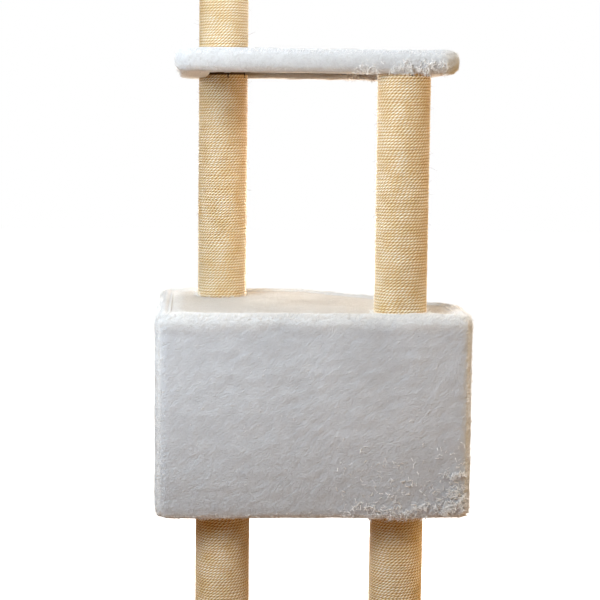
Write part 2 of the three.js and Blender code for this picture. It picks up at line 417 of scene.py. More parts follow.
# How open the pile stands: (height in metres, amount). It is brushed flattest high on the condo.
OPEN_PILE = [(0.46, 0.8), (0.58, 0.3), (0.74, 0.22), (0.77, 0.45), (1.00, 0.6)]
OPEN_PILE_TOP = 2.0  # the height at the end of the colour ramp that holds those


class Graph:
    """Short ways to add nodes to a material's or a world's node tree, and to link them."""

    def __init__(self, tree):
        self.nodes, self.link = tree.nodes, tree.links.new

    def node(self, kind, **values):
        """A new node; each value goes to the input or the setting of that name."""
        found = self.nodes.new("ShaderNode" + kind)
        for key, value in values.items():
            if key in found.inputs:
                found.inputs[key].default_value = value
            else:
                setattr(found, key, value)
        return found

    def feed(self, socket, value):
        """Links a socket's value, or sets it."""
        if isinstance(value, bpy.types.NodeSocket):
            self.link(value, socket)
        else:
            socket.default_value = value

    def math(self, operation, *values):
        found = self.node("Math", operation=operation)
        for socket, value in zip(found.inputs, values):
            self.feed(socket, value)
        return found.outputs[0]

    def ramp(self, source, stops):
        """A colour ramp over a 0 to 1 value; stops are (place, colour)."""
        found = self.node("ValToRGB")
        elements = found.color_ramp.elements
        while len(elements) < len(stops):
            elements.new(0.5)
        for element, (place, colour) in zip(elements, stops):
            element.position = place
            element.color = (*colour, 1)
        self.link(source, found.inputs["Fac"])
        return found.outputs["Color"]

    def mix(self, amount, first, second, kind="MIX"):
        """Blends two colours; the amount's and the colours' sockets are numbers 0, 6 and 7."""
        found = self.node("Mix", data_type="RGBA", blend_type=kind)
        self.feed(found.inputs[0], amount)
        self.feed(found.inputs[6], first)
        self.feed(found.inputs[7], second)
        return found.outputs[2]

    def through(self, vector, kind, **values):
        """The outputs of a new node that takes a vector."""
        found = self.node(kind, **values)
        self.link(vector, found.inputs["Vector"])
        return found.outputs

    def noise(self, place, scale, detail=3.0, roughness=0.6, distortion=0.0):
        return self.through(place, "TexNoise", Scale=scale, Detail=detail, Roughness=roughness,
                            Distortion=distortion)["Fac"]

    def bumps(self, layers, target):
        """Stacks bump layers, each (height socket, distance in metres, strength), onto a shader."""
        last = None
        for height, distance, strength in layers:
            found = self.node("Bump", Distance=distance, Strength=strength)
            self.link(height, found.inputs["Height"])
            if last is not None:
                self.link(last, found.inputs["Normal"])
            last = found.outputs["Normal"]
        self.link(last, target)

    def mapped(self, vector, **values):
        return self.through(vector, "Mapping", **values)["Vector"]

    def place(self):
        """Where a point is in its own object's axes."""
        return self.node("TexCoord").outputs["Object"]


def shader(name):
    material = bpy.data.materials.new(name)
    material.use_nodes = True
    return material, Graph(material.node_tree), material.node_tree.nodes["Principled BSDF"]


def set_inputs(found, values):
    for key, value in values.items():
        found.inputs[key].default_value = value


def nap_coordinates(graph, place):
    """Coordinates turned so that X runs along the nap, and squeezed along it."""
    turn = Vector((1, 0, 0)).rotation_difference(NAP).to_euler()
    turned = graph.mapped(place, vector_type="TEXTURE", Rotation=turn)
    return graph.mapped(turned, Scale=(0.25, 1, 1))


def open_pile(graph, place):
    """How far the pile stands open at each height, from 0 to 1."""
    share = graph.math("MULTIPLY", graph.through(place, "SeparateXYZ")["Z"], 1 / OPEN_PILE_TOP)
    return graph.ramp(share, [(z / OPEN_PILE_TOP, (amount,) * 3) for z, amount in OPEN_PILE])


def plush_material(name, rim, flat):
    """Short soft pile: brushed lighter and darker patches, fine fibres, a soft sheen. The mask
    named flat blends two colours: 0 gives the lighter rim colour, a painted highlight on rounded
    rims and undersides; 1 gives the darker colour, which is painted shade on tops and left sides."""
    material, graph, skin = shader(name)
    place = graph.place()
    along = nap_coordinates(graph, place)
    patches = graph.noise(place, 11.0, 3.0, 0.55)
    streaks = graph.noise(along, 90.0, 3.0, 0.6, 0.6)
    curls = graph.noise(place, 230.0, 3.0, 0.65, 1.2)
    fibres = graph.noise(along, 480.0, 2.0)
    mask = graph.node("Attribute", attribute_name="flat").outputs["Fac"]
    tones = [graph.ramp(patches, [(0.35, tuple(0.88 * c for c in colour)), (0.65, colour)])
             for colour in (rim, flat)]
    broad = graph.mix(mask, *tones)
    streaky = graph.ramp(streaks, [(0.32, (0.93, 0.93, 0.935)), (0.62, (1, 1, 1))])
    curly = graph.ramp(curls, [(0.32, (0.78, 0.765, 0.75)), (0.56, (1, 1, 1))])
    tone = graph.mix(1.0, broad, streaky, "MULTIPLY")
    openness = open_pile(graph, place)
    graph.link(graph.mix(openness, tone, curly, "MULTIPLY"), skin.inputs["Base Color"])
    set_inputs(skin, {
        "Roughness": 0.95, "Specular IOR Level": 0.15, "Sheen Weight": 0.75, "Sheen Roughness": 0.45,
    })
    uneven = graph.math("MULTIPLY_ADD", patches, 2.4, -0.2)
    ruffled = graph.math("MULTIPLY", curls, graph.math("MULTIPLY", uneven, openness))
    layers = [(streaks, 0.0025, 0.35), (ruffled, 0.0055, 0.85), (fibres, 0.0022, 0.5)]
    graph.bumps(layers, skin.inputs["Normal"])
    return material


def tips_material(name, roughness, specular):
    """Separate locks of white pile, with the shine of clean fibre."""
    material, _, skin = shader(name)
    set_inputs(skin, {
        "Base Color": (0.97, 0.97, 0.97, 1), "Roughness": roughness, "Specular IOR Level": specular,
        "Sheen Weight": 1.0, "Sheen Roughness": 0.4,
    })
    return material


def sisal_material():
    """Twisted straw, with painted shade in the grooves between turns and strands and a painted
    highlight on their crowns. The map named rope counts strands in U and crosses one turn in V.
    """
    material, graph, skin = shader("sisal")
    place = graph.place()
    along = graph.through(graph.node("UVMap", uv_map="rope").outputs["UV"], "SeparateXYZ")
    u, v = along["X"], along["Y"]
    side = graph.math("MULTIPLY_ADD", v, 2 * ROPE_SIDE, -ROPE_SIDE)
    lean = graph.math("ARCSINE", side)
    twist = graph.math("MULTIPLY_ADD", lean, -ROPE_LEAN / math.pi, u)
    wave = graph.math("COSINE", graph.math("MULTIPLY", twist, math.pi))
    ridge = graph.math("POWER", graph.math("ABSOLUTE", wave), 0.6)
    crown = graph.math("SQRT", graph.math("SUBTRACT", 1.0, graph.math("MULTIPLY", side, side)))
    strand = graph.math("POWER", graph.math("ABSOLUTE", wave), 1.15)
    lifted = graph.math("MULTIPLY_ADD", graph.math("POWER", crown, 1.7), 0.95, 0.05)
    height = graph.math("MULTIPLY", strand, lifted)
    join = graph.node("CombineXYZ")
    for source, socket in zip((twist, v, graph.math("FLOOR", twist)), join.inputs):
        graph.link(source, socket)
    fine = graph.mapped(join.outputs["Vector"], Scale=(7.0, 1.2, 3.7))
    fibres = graph.noise(fine, 1.0, 4.0, 0.65)
    cloud = graph.noise(place, 34.0, 4.0, 0.6)
    bright = graph.math("MULTIPLY_ADD", fibres, 0.8, 0.25)
    painted_relief = graph.math("MULTIPLY", height, bright)
    # Painted shade and highlight: the ramp runs from near black brown deep in the grooves to near white on
    # the crowns.
    straw = graph.ramp(painted_relief, [
        (0.02, (0.11, 0.035, 0.004)), (0.12, (0.64, 0.33, 0.07)),
        (0.25, (0.97, 0.75, 0.36)), (0.50, (1.0, 0.96, 0.87)),
    ])
    uneven = graph.ramp(cloud, [(0.32, (0.86, 0.74, 0.52)), (0.60, (1, 1, 1))])
    graph.link(graph.mix(0.9, straw, uneven, "MULTIPLY"), skin.inputs["Base Color"])
    set_inputs(skin, {"Roughness": 0.45, "Specular IOR Level": 0.6})
    graph.bumps([(ridge, 0.0010, 0.8), (fibres, 0.0006, 0.8)], skin.inputs["Normal"])
    return material


def board_material():
    """Raw particle board: chips of a few tan tones, painted about half as light as bare board. The darkness
    is painted shade, for the board's underside deep in the shade of the plush hems.
    """
    material, graph, skin = shader("particle_board")
    place = graph.place()
    chips = graph.through(place, "TexVoronoi", Scale=260.0, Randomness=1.0)
    grain = graph.noise(place, 900.0)
    clouds = graph.noise(place, 14.0, 4.0)
    tone = graph.node("SeparateColor")
    graph.link(chips["Color"], tone.inputs["Color"])
    # Painted shade: these tones are darker than bare board.
    chips_in_painted_shade = graph.ramp(tone.outputs["Red"], [
        (0.0, (0.22, 0.14, 0.08)), (0.5, (0.36, 0.25, 0.15)), (1.0, (0.46, 0.34, 0.22)),
    ])
    cloudy = graph.ramp(clouds, [(0.3, (0.86, 0.83, 0.80)), (0.7, (1, 1, 1))])
    graph.link(graph.mix(1.0, chips_in_painted_shade, cloudy, "MULTIPLY"), skin.inputs["Base Color"])
    skin.inputs["Roughness"].default_value = 0.82
    layers = [(chips["Distance"], 0.0004, 0.3), (grain, 0.0003, 0.3)]
    graph.bumps(layers, skin.inputs["Normal"])
    return material


def grained_material(name, dark, light, scale, roughness, metallic=0.0, bump=0.0002, squeeze=(1, 1, 1)):
    """A plain solid with a fine grain: card, raw wood, zinc or moulded plastic."""
    material, graph, skin = shader(name)
    grain = graph.noise(graph.mapped(graph.place(), Scale=squeeze), scale, 5.0)
    graph.link(graph.ramp(grain, [(0.3, dark), (0.7, light)]), skin.inputs["Base Color"])
    set_inputs(skin, {"Roughness": roughness, "Metallic": metallic})
    graph.bumps([(grain, bump, 0.4)], skin.inputs["Normal"])
    return material


materials = {
    "plush": plush_material("plush", (0.80, 0.815, 0.83), (0.617, 0.645, 0.69)),
    # The roof's own copy of the plush: its darker beige colour paints the warm light on the roof and a
    # painted shade under the top lamp; its lighter rim colour is a painted highlight.
    "roof_plush": plush_material("roof_plush", (0.60, 0.605, 0.61), (0.485, 0.440, 0.390)),
    "plush_tips": tips_material("plush_tips", 0.45, 0.6),
    "plush_curls": tips_material("plush_curls", 0.25, 1.0),
    "sisal": sisal_material(),
    "particle_board": board_material(),
    # The tube is painted near black brown, far darker than card: painted shade for the band of tube that
    # shows, deep in shade, between each rope's end and the board above.
    "cardboard_tube": grained_material("cardboard", (0.12, 0.075, 0.04), (0.19, 0.125, 0.07), 90, 0.9,
                                       squeeze=(1, 1, 0.2)),
    "wood_plug": grained_material("raw_wood", (0.60, 0.45, 0.28), (0.74, 0.60, 0.42), 60, 0.75,
                                  squeeze=(1, 0.1, 1)),
    "zinc_steel": grained_material("zinc", (0.62, 0.63, 0.66), (0.74, 0.75, 0.78), 400, 0.32, 1.0, 0.0001),
    # Near black: painted shade, as these staples at the rope ends also stand for the shade round them.
    "dull_steel": grained_material("dull_steel", (0.02, 0.016, 0.012), (0.05, 0.04, 0.03), 300, 0.6, 0.3),
    "foot_plastic": grained_material("foot", (0.018, 0.018, 0.020), (0.030, 0.030, 0.034), 700, 0.55),
}


def finish_piece(piece, material, replaced=()):
    piece.data.materials.clear()
    piece.data.materials.append(materials[material])
    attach(piece, "root")
    if replaced:
        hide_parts(*replaced)
    return piece


def rim_tufts(kind, piece, **settings):
    return finish_piece(tufts(kind + "_rim_tufts", piece, **settings), "plush_tips")


def curly_tufts(kind, piece, **settings):
    locks = tufts(kind + "_curly_tufts", piece, curl=0.5, lie=0.1, **settings)
    return finish_piece(locks, "plush_curls")


# ---------- rope ----------

def rope_grid(length):
    """The numbers of a helical grid: its turns and rows, its quads and its two edges."""
    turns = int(length / ROPE_PITCH) - 1
    rows = turns * ROPE_ROWS
    k, j = np.meshgrid(np.arange(rows), np.arange(ROPE_COLUMNS), indexing="ij")
    k, j = k.ravel(), j.ravel()
    corners = np.array([(k, j), (k, j + 1), (k + 1, j + 1), (k + 1, j)]).transpose(2, 0, 1)
    climb = np.arange(ROPE_ROWS - 1, 0, -1)
    edge = [(0, c) for c in range(ROPE_COLUMNS)] + [(ROPE_ROWS, 0)] + [(c, 0) for c in climb]
    bottom = np.array(edge)
    top = bottom + np.array([rows, 0])
    return turns, rows, corners, bottom, top


def strand_count(turns, strands, seed):
    """How many strands lie along the rope up to a number of turns; the twist is a little uneven."""
    along = np.outer(turns, (3.3, 0, 0))
    uneven = 1.1 * noise(along, 1.0, seed + 4) + 0.22 * noise(along, 0.27, seed + 6)
    return strands * turns + uneven.reshape(np.shape(turns))


def rope_skin(k, j, outer, length, pitch, strands, seed):
    """The rope's surface at rows k and columns j: round turns, twisted strands, a little wander."""
    angle = 2 * math.pi * j / ROPE_COLUMNS
    height = (k / ROPE_ROWS + j / ROPE_COLUMNS) * pitch
    side = 2 * ROPE_SIDE * ((k % ROPE_ROWS) / ROPE_ROWS) - ROPE_SIDE
    crown = np.sqrt(1 - side ** 2)
    twist = strand_count(k // ROPE_ROWS + j / ROPE_COLUMNS, strands, seed)
    twist = twist - ROPE_LEAN * np.arcsin(side) / math.pi
    ridge = np.abs(np.cos(math.pi * twist)) ** 0.6
    way = spokes(angle)
    rough = way * outer
    rough[:, 2] = height
    lumps = noise(rough, (0.02, 0.02, pitch * 0.8), seed)
    open_strand = 0.8 + 0.4 * noise(rough, (0.03, 0.03, 0.012), seed + 3)
    radius = outer + 0.0003 - ROPE_GROOVE * (1 - crown) + 0.0003 * lumps
    radius -= STRAND_GROOVE * open_strand * (1 - ridge) * crown
    wander = 0.0006 * noise(rough, 0.025, seed + 1) + 0.0006 * noise(rough, (0.02, 0.02, pitch), seed + 2)
    wander *= smoothstep(0, 0.015, height) * smoothstep(0, 0.015, length - height)
    skin = way * radius[:, None]
    skin[:, 2] = height + wander
    return skin


def wind(post, seed):
    """The rope on one post: a closed sleeve whose rows climb with the turns, strands in relief."""
    low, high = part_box(post + "_rope")
    centre, outer = (low + high) / 2, rope_radius(post)
    length = high.z - low.z - ROPE_END
    turns, rows, corners, bottom, top = rope_grid(length)
    pitch = length / (turns + 1)
    strands = 2 * math.pi * outer / ROPE_STRAND
    last = rows * ROPE_COLUMNS + ROPE_COLUMNS

    def number(k, j):
        """The point at row k and column j; the last column is the first one, a turn higher."""
        k, j = k + ROPE_ROWS * (j // ROPE_COLUMNS), j % ROPE_COLUMNS
        return np.where(k <= rows, k * ROPE_COLUMNS + j, last + k - rows - 1)

    k, j = np.meshgrid(np.arange(rows + 1), np.arange(ROPE_COLUMNS), indexing="ij")
    k = np.concatenate([k.ravel(), np.arange(rows + 1, rows + ROPE_ROWS + 1)])
    j = np.concatenate([j.ravel(), np.zeros(ROPE_ROWS, int)])
    skin = rope_skin(k, j, outer, length, pitch, strands, seed)
    inner = outer - ROPE_THICKNESS + TUBE_GAP
    rings = []
    for edge in (bottom, top):
        ring = skin[number(*edge.T)].copy()
        ring[:, :2] *= (inner / np.linalg.norm(ring[:, :2], axis=1))[:, None]
        rings.append(ring)
    points = np.concatenate([skin, *rings]) + np.array([centre.x, centre.y, low.z])

    count = len(bottom)
    first = len(skin) + np.arange(count)
    second = first + count
    after = np.roll(np.arange(count), -1)
    low_edge, high_edge = number(*bottom.T), number(*top.T)
    outside_faces = number(corners[:, :, 0], corners[:, :, 1])
    under = np.stack([low_edge[after], low_edge, first, first[after]], axis=1)
    over = np.stack([high_edge, high_edge[after], second[after], second], axis=1)
    wall = np.stack([first[after], first, second, second[after]], axis=1)
    piece = mesh_piece(post + "_sisal", points, np.concatenate([outside_faces, under, over, wall]))

    turn = corners[:, 0, 0] // ROPE_ROWS
    u = strand_count(turn[:, None] + corners[:, :, 1] / ROPE_COLUMNS, strands, seed)
    v = corners[:, :, 0] / ROPE_ROWS - turn[:, None]
    uv = np.zeros((len(piece.data.loops), 2))
    uv[:u.size] = np.stack([u.ravel(), v.ravel()], axis=1)
    fill(piece.data.uv_layers.new(name="rope").data, "uv", uv)
    return finish_piece(piece, "sisal", [post + "_rope"])


def loose_fibres(rope, post, seed, count=260):
    """Stray straws that have worked out of the twist."""
    centre = middle(post + "_rope")

    def on_the_outside(points, _):
        return np.hypot(points[:, 0] - centre.x, points[:, 1] - centre.y) > rope_radius(post) - 0.002

    roots, facing = scatter(rope, count, on_the_outside, seed)
    rng = np.random.default_rng(seed)
    along = np.cross((0, 0, 1), facing) * rng.choice([-1, 1], count)[:, None]
    ways = along + facing * rng.uniform(0.12, 0.5, count)[:, None] + rng.normal(0, 0.15, (count, 3))
    bends = rng.normal(0, 0.25, (count, 3)) + facing * 0.15
    lengths = rng.uniform(0.005, 0.012, count)
    radii = rng.uniform(0.00010, 0.00016, count)
    finish_piece(spikes(post + "_loose_fibres", roots, ways, bends, lengths, radii, segments=3),
                 "sisal")


for index, post in enumerate(POSTS):
    loose_fibres(wind(post, 10 * index), post, 500 + index)

# ---------- plush over the condo ----------

wall_low, wall_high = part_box("wall_cover")
roof_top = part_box("roof_cover")[1].z
condo_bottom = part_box("underside_cover")[0].z
WALLS = [
    (wall_low.x, wall_low.y), (wall_high.x, wall_low.y), (wall_high.x, wall_high.y - CUT),
    (wall_high.x - CUT, wall_high.y), (wall_low.x, wall_high.y),
]
WALL_RADII = (0.020, 0.0185, 0.020, 0.020, 0.020)
WALL_RIMS = (0.013, 0.018)  # how far the lower and the upper edges of the walls are rounded
ENTRANCE = 0.1047  # the hole's radius
SEAM = 0.013  # from the front left edge to the seam
# Patches of curly locks low on the right of the front: middle in x and z, half width, half height.
CURLY_PATCHES = [
    (0.243, 0.481, 0.020, 0.018), (0.228, 0.457, 0.026, 0.016), (0.236, 0.511, 0.030, 0.007),
]
entrance_axis = Vector((wall_high.x - CUT / 2, wall_high.y - CUT / 2, middle("entrance_ring").z))
entrance_turn = Matrix.Translation(entrance_axis) @ Matrix.Rotation(-math.pi / 4, 4, "Z")
entrance_turn = entrance_turn @ Matrix.Rotation(-math.pi / 2, 4, "X")


def painted_left_side_shade(points):
    """1 on the condo's left side behind its front edge, where the plush gets the darker colour, a painted
    shade, and fewer locks.
    """
    return (smoothstep(wall_low.x + 0.032, wall_low.x + 0.010, points[:, 0])
            * smoothstep(wall_low.y + 0.004, wall_low.y + 0.030, points[:, 1]))


def seam_and_corner(points):
    """How deep the sewn seam by the front left edge is, and the pinched corner under it."""
    x, y, z = points.T
    front = smoothstep(wall_low.y + 0.012, wall_low.y + 0.004, y)
    wander = 0.0012 * noise(points, 0.05, 7)
    seam = np.exp(-((x - wall_low.x - SEAM - wander) / 0.0022) ** 2)
    seam *= smoothstep(condo_bottom, condo_bottom + 0.02, z)
    corner = np.array([wall_low.x, wall_low.y, condo_bottom])
    pinch = np.exp(-(np.linalg.norm(points - corner, axis=1) / 0.022) ** 2)
    return 0.0008 * seam * front + 0.0035 * pinch


def fuller_edges(points, facing, dip):
    """The puffed and brushed-up pile along the top, the left edge and low on the right side."""
    x, _, z = points.T
    rim = smoothstep(roof_top - 0.022, roof_top - 0.006, z) + smoothstep(wall_low.x + 0.014, wall_low.x, x)
    puff = 0.0009 * noise(points, (0.018, 0.03, 0.02), 17) * np.minimum(rim, 1) * (1 - dip)
    brushed_up = 0.0010 * (0.6 + noise(points, (0.055, 0.055, 0.3), 19)) * (facing[:, 2] < 0.8)
    brushed_up *= np.exp(-((z - roof_top + 0.014) / 0.016) ** 2)
    low_right = smoothstep(wall_high.x - 0.016, wall_high.x, x)
    low_right *= smoothstep(roof_top - 0.03, roof_top - 0.12, z)
    return puff + brushed_up + 0.0016 * np.maximum(facing[:, 0], 0) * low_right


def wall_shape(points, facing):
    """What makes the walls uneven: creases, fuller edges, a left side that leans in towards the
    back, a hem that hangs, a roll that dips towards the roof, the seam and the pinched corner."""
    x, y, _ = points.T
    beyond = outside(points, WALLS)
    dip = np.maximum(facing[:, 2], 0) * smoothstep(-0.012, 0.002 - LIP, beyond)
    creases = 0.0006 * noise(points, (0.035, 0.035, 0.012), 29) * (1 - dip)
    hanging = smoothstep(-0.2, -0.9, facing[:, 2]) * smoothstep(-0.018, -0.006, beyond)
    hanging *= 0.0024 + 0.0012 * smoothstep(0.1, -0.2, x)
    lean = 0.001 * np.maximum(-facing[:, 0], 0) * smoothstep(wall_low.y, wall_high.y, y)
    sunk = lean + (ROLL + PROUD) * dip + seam_and_corner(points)
    return creases + fuller_edges(points, facing, dip) + hanging - sunk


def condo_walls():
    piece = rounded_slab("condo_wall_plush", WALLS, WALL_RADII, condo_bottom, roof_top + ROLL, *WALL_RIMS)
    outer_boards = shrink(WALLS, PLUSH)
    window = shrink(WALLS, LIP)
    hole = prism(circle((0, 0), ENTRANCE), -0.08, 0.08)
    hole.data.transform(entrance_turn)
    cut(piece, [
        prism(outer_boards, wall_low.z, wall_high.z),
        prism(window, wall_high.z - 0.001, roof_top + 0.02),
        prism(window, condo_bottom - 0.02, wall_low.z + 0.001),
        hole,
    ])
    remesh(piece)
    points, facing = coordinates(piece), normals(piece)
    ruffle(piece, beyond_board(outer_boards, wall_low.z, wall_high.z), 100, shape=wall_shape)
    # Painted light: the mask gives the lighter rim colour, a painted highlight, along the top roll, the
    # upright corners and the lower rim, and the darker colour, a painted shade, on the left side.
    wave = 0.5 + 0.5 * noise(points, (0.055, 0.055, 0.3), 19)
    below_top = roof_top - points[:, 2] - 0.012 * wave + 0.004 * noise(points, 0.008, 23)
    square = facing_a_side(facing, WALLS, 0.70, 1.0)
    above_bottom = smoothstep(0.0, 0.012, points[:, 2] - condo_bottom)
    lying = smoothstep(-0.002, 0.024, below_top) * (0.25 + 0.75 * square) * above_bottom
    mark_painted_light(piece, np.maximum(lying, 0.8 * painted_left_side_shade(points)))
    finish_piece(piece, "plush", ["wall_cover"])
    width, height = perimeter(WALLS), roof_top - condo_bottom + 2 * LIP
    boards = ["front_wall", "right_wall", "entrance_wall", "back_wall", "left_wall"]
    return piece, dict(flat=(width, height), area=width * height - math.pi * ENTRANCE ** 2, rests_on=boards)


def condo_panel(name, replaced, bottom, top, posts, seed, material, shows_up):
    """The plush on the condo's roof or under its floor, tucked against the wall plush."""
    outline = shrink(WALLS, LIP - 0.0020)
    piece = rounded_slab(name, outline, 0.006, bottom, top, 0.001, 0.001, 2)
    cut(piece, [post_cutter(post, bottom - 0.01, top + 0.01) for post in posts])
    remesh(piece, VOXEL * 0.8, 1)
    ruffle(piece, lambda p: p[:, 2] - bottom if shows_up else top - p[:, 2], seed)
    points = coordinates(piece)
    if shows_up:
        # The lighter rim colour, a painted highlight, stays along the roof's rim and spreads further in
        # towards the left.
        inside = -outside(points, outline) + 0.007 * noise(points, 0.026, 125)
        inside += 0.003 * noise(points, 0.007, 127)
        inside -= 0.014 * smoothstep(wall_low.x + 0.070, wall_low.x + 0.030, points[:, 0])
        mark_painted_light(piece, smoothstep(-0.002, 0.022, inside))
    else:
        mark_painted_light(piece, np.ones(len(points)))
    finish_piece(piece, material, [replaced])


def wall_tufts(walls):
    """Locks along the rims, and curly patches and stray locks low on the right of the front."""
    def on_rims(points, facing):
        up = np.abs(facing[:, 2])
        out = outside(points, shrink(WALLS, PLUSH)) > 0.001
        corner = (1 - facing_a_side(facing, WALLS, 0.80, 0.99)) * (up < 0.5)
        rims = 0.004 + 0.6 * corner + smoothstep(0.25, 0.5, up) * smoothstep(0.99, 0.85, up)
        return out * rims * (1 - 0.8 * painted_left_side_shade(points))

    def low_right(points, facing):
        x, _, z = points.T
        patches = np.zeros(len(points))
        for at_x, at_z, wide, high in CURLY_PATCHES:
            patches += smoothstep(1.0, 0.4, np.hypot((x - at_x) / wide, (z - at_z) / high))
        along = smoothstep(0.042, 0.006, z - condo_bottom) * smoothstep(0.02, 0.10, x)
        clumps = smoothstep(-0.1, 0.4, noise(points, 0.012, 31))
        scattered = 0.03 * smoothstep(0.0, 0.14, x) * smoothstep(0.60, 0.48, z)
        return (patches * (0.3 + clumps) + 0.45 * along * clumps + scattered) * (facing[:, 1] < -0.4)

    return [
        rim_tufts("condo", walls, count=9000, weight=on_rims, seed=41,
                  length=(0.003, 0.0052), radius=0.00032),
        curly_tufts("condo", walls, count=2500, weight=low_right, seed=43,
                    length=(0.004, 0.0075), radius=0.0006),
    ]


walls, wall_sheet = condo_walls()
wall_tufts(walls)
condo_panel("condo_roof_plush", "roof_cover", wall_high.z + 0.0003, roof_top - 0.0010,
            posts=UPPER_POSTS, seed=100, material="roof_plush", shows_up=True)
condo_panel("condo_underside_plush", "underside_cover", condo_bottom + 0.0015, wall_low.z - 0.0003,
            posts=LOWER_POSTS, seed=130, material="plush", shows_up=False)

# ---------- the entrance and the mat inside the condo ----------


def entrance_roll():
    """A stuffed plush roll round the entrance, with a sleeve that lines the hole."""
    tuck = PLUSH + BOARD
    profile = [
        (-0.0062, -tuck), (-0.0005, -tuck), (-0.0003, 0.0006), (0.0095, 0.0004), (0.0117, 0.0030),
        (0.0098, 0.0068), (0.0045, 0.0092), (-0.0015, 0.0088), (-0.0058, 0.0055), (-0.0070, 0.0),
    ]
    steps = 120
    points = []
    for radial, out in profile:
        points += [(x, y, out) for x, y in circle((0, 0), ENTRANCE + radial, steps)]
    faces = []
    for row in range(0, len(points), steps):
        after = (row + steps) % len(points)
        for i in range(steps):
            j = (i + 1) % steps
            faces.append((row + j, row + i, after + i, after + j))
    piece = mesh_piece("entrance_plush_roll", points, faces)
    piece.data.transform(entrance_turn)
    shape = bmesh.new()
    shape.from_mesh(piece.data)
    bmesh.ops.recalc_face_normals(shape, faces=shape.faces)
    shape.to_mesh(piece.data)
    shape.free()
    remesh(piece, 0.0022, 3)
    inwards = np.array(entrance_turn.to_3x3() @ Vector((0, 0, 1)))
    ruffle(piece, lambda p: (p - np.array(entrance_axis)) @ inwards + 0.002, 150, 0.8)
    finish_piece(piece, "plush", ["entrance_ring"])


def floor_mat():
    low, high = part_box("floor_mat")
    inside = shrink(WALLS, PLUSH + BOARD + 0.002)
    piece = rounded_slab("floor_mat_plush", inside, 0.012, low.z, high.z, 0.003, 0.0035, 3)
    remesh(piece)
    ruffle(piece, lambda p: p[:, 2] - low.z, 160, 0.8)
    mark_painted_light(piece, np.ones(len(piece.data.vertices)))
    finish_piece(piece, "plush", ["floor_mat"])


entrance_roll()
floor_mat()

# ---------- plush over the base, the platform and the perch ----------


def staples(name, spots, material="zinc_steel", wire=0.0006):
    """Bent wire staples. A spot is (middle of the crown, its direction, the way the legs go)."""
    crown, leg = 0.0100, 0.0022
    shape = bmesh.new()
    for at, along, into in spots:
        at, along, into = (Vector(v) for v in (at, along, into))
        across = along.cross(into) * 2 * wire
        side, depth = along * (crown - wire) / 2, into * leg / 2
        for centre, wide, deep in (
            (at, crown, wire), (at + side + depth, wire, leg + wire), (at - side + depth, wire, leg + wire),
        ):
            size = Matrix((along * wide, across, into * deep)).transposed().to_4x4()
            bmesh.ops.create_cube(shape, size=1.0, matrix=Matrix.Translation(centre) @ size)
    bmesh.ops.recalc_face_normals(shape, faces=shape.faces)
    bmesh.ops.bevel(shape, geom=shape.edges[:], offset=wire * 0.3, segments=1, affect="EDGES")
    mesh = bpy.data.meshes.new(name)
    shape.to_mesh(mesh)
    shape.free()
    return finish_piece(link(name, mesh), material)


def hem_spots(outline, radius, height, spacing=0.062):
    """A row of staples along the inner part of a hem, seen from below."""
    line = shrink(outline, HEM - 0.010)
    corners, outward = sides(line)
    spots = []
    for i, corner in enumerate(corners):
        end = corners[(i + 1) % len(corners)]
        length = np.linalg.norm(end - corner) - 2 * radius
        count = int(length / spacing)
        along = (end - corner) / np.linalg.norm(end - corner)
        for k in range(count + 1):
            spot = corner + along * (radius + length * k / count)
            tilt = 0.25 * math.sin(5.1 * k + 2.3 * i)
            turned = along * math.cos(tilt) + outward[i] * math.sin(tilt)
            spots.append(((*spot, height), (*turned, 0), (0, 0, 1)))
    return spots


def painted_left_end_shade(points, outline):
    """1 along the left end of a board, where the plush gets the darker colour, a painted shade, and fewer
    locks.
    """
    left = np.min(outline, axis=0)[0]
    return smoothstep(left + 0.034, left + 0.010, points[:, 0])


def covered_board(name, replaced, outline, radii, board, rims, below, above, seed, skew=0.0, curls=None):
    """Plush over a board: the top, the sides, and a hem folded under and stapled. The hem on the
    left is wider at the front by skew. The pile is lumpy where curls(points, normals) says."""
    low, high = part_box(replaced)
    board_low, board_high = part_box(board)
    piece = rounded_slab(name, outline, radii, low.z, high.z, *rims)
    room = prism(rounded(outline, radii, PLUSH - 0.0003), board_low.z - 0.0003, board_high.z + 0.0003)
    bare = shrink(outline, HEM)
    bare[0] = (bare[0][0] + skew, bare[0][1])
    window = prism(rounded(bare, HEM_CORNER), low.z - 0.01, board_low.z + 0.001)
    cutters = [room, window]
    cutters += [post_cutter(post, low.z - 0.01, board_low.z + 0.001) for post in below]
    cutters += [post_cutter(post, board_high.z - 0.001, high.z + 0.01) for post in above]
    cut(piece, cutters)
    remesh(piece)

    def fuller_rim(points, facing):
        near_top = smoothstep(high.z - 0.020, high.z - 0.004, points[:, 2])
        puff = 0.0006 * noise(points, (0.02, 0.02, 0.02), seed + 9) * near_top
        hanging = (0.0026 + 0.0012 * noise(points, 0.012, seed + 13)) * (low.z > 0.1)
        at_back = smoothstep(low.y + 0.08, high.y - 0.08, points[:, 1])
        if curls is not None:
            puff += 0.0018 * noise(points, 0.0065, seed + 15) * curls(points, facing)
        return puff + hanging * at_back * smoothstep(-0.3, -0.9, facing[:, 2])

    points, facing = coordinates(piece), normals(piece)
    ruffle(piece, beyond_board(shrink(outline, PLUSH), board_low.z, board_high.z), seed, shape=fuller_rim)
    # Painted light: the mask gives the lighter rim colour, a painted highlight, on the undersides and
    # partly on the sides, and the darker colour, a painted shade, on the top and the left end.
    up = facing[:, 2]
    lying = 0.4 * smoothstep(-0.9, -0.3, up) + 0.5 * smoothstep(0.2, 0.9, up)
    mark_painted_light(piece, np.maximum(lying, 0.7 * painted_left_end_shade(points, outline)))
    finish_piece(piece, "plush", [replaced])
    folded = 2 * (high.z - low.z + HEM)
    flat = tuple(extent(outline) + folded)
    return piece, dict(flat=flat, area=flat[0] * flat[1] - folded ** 2, rests_on=[board])


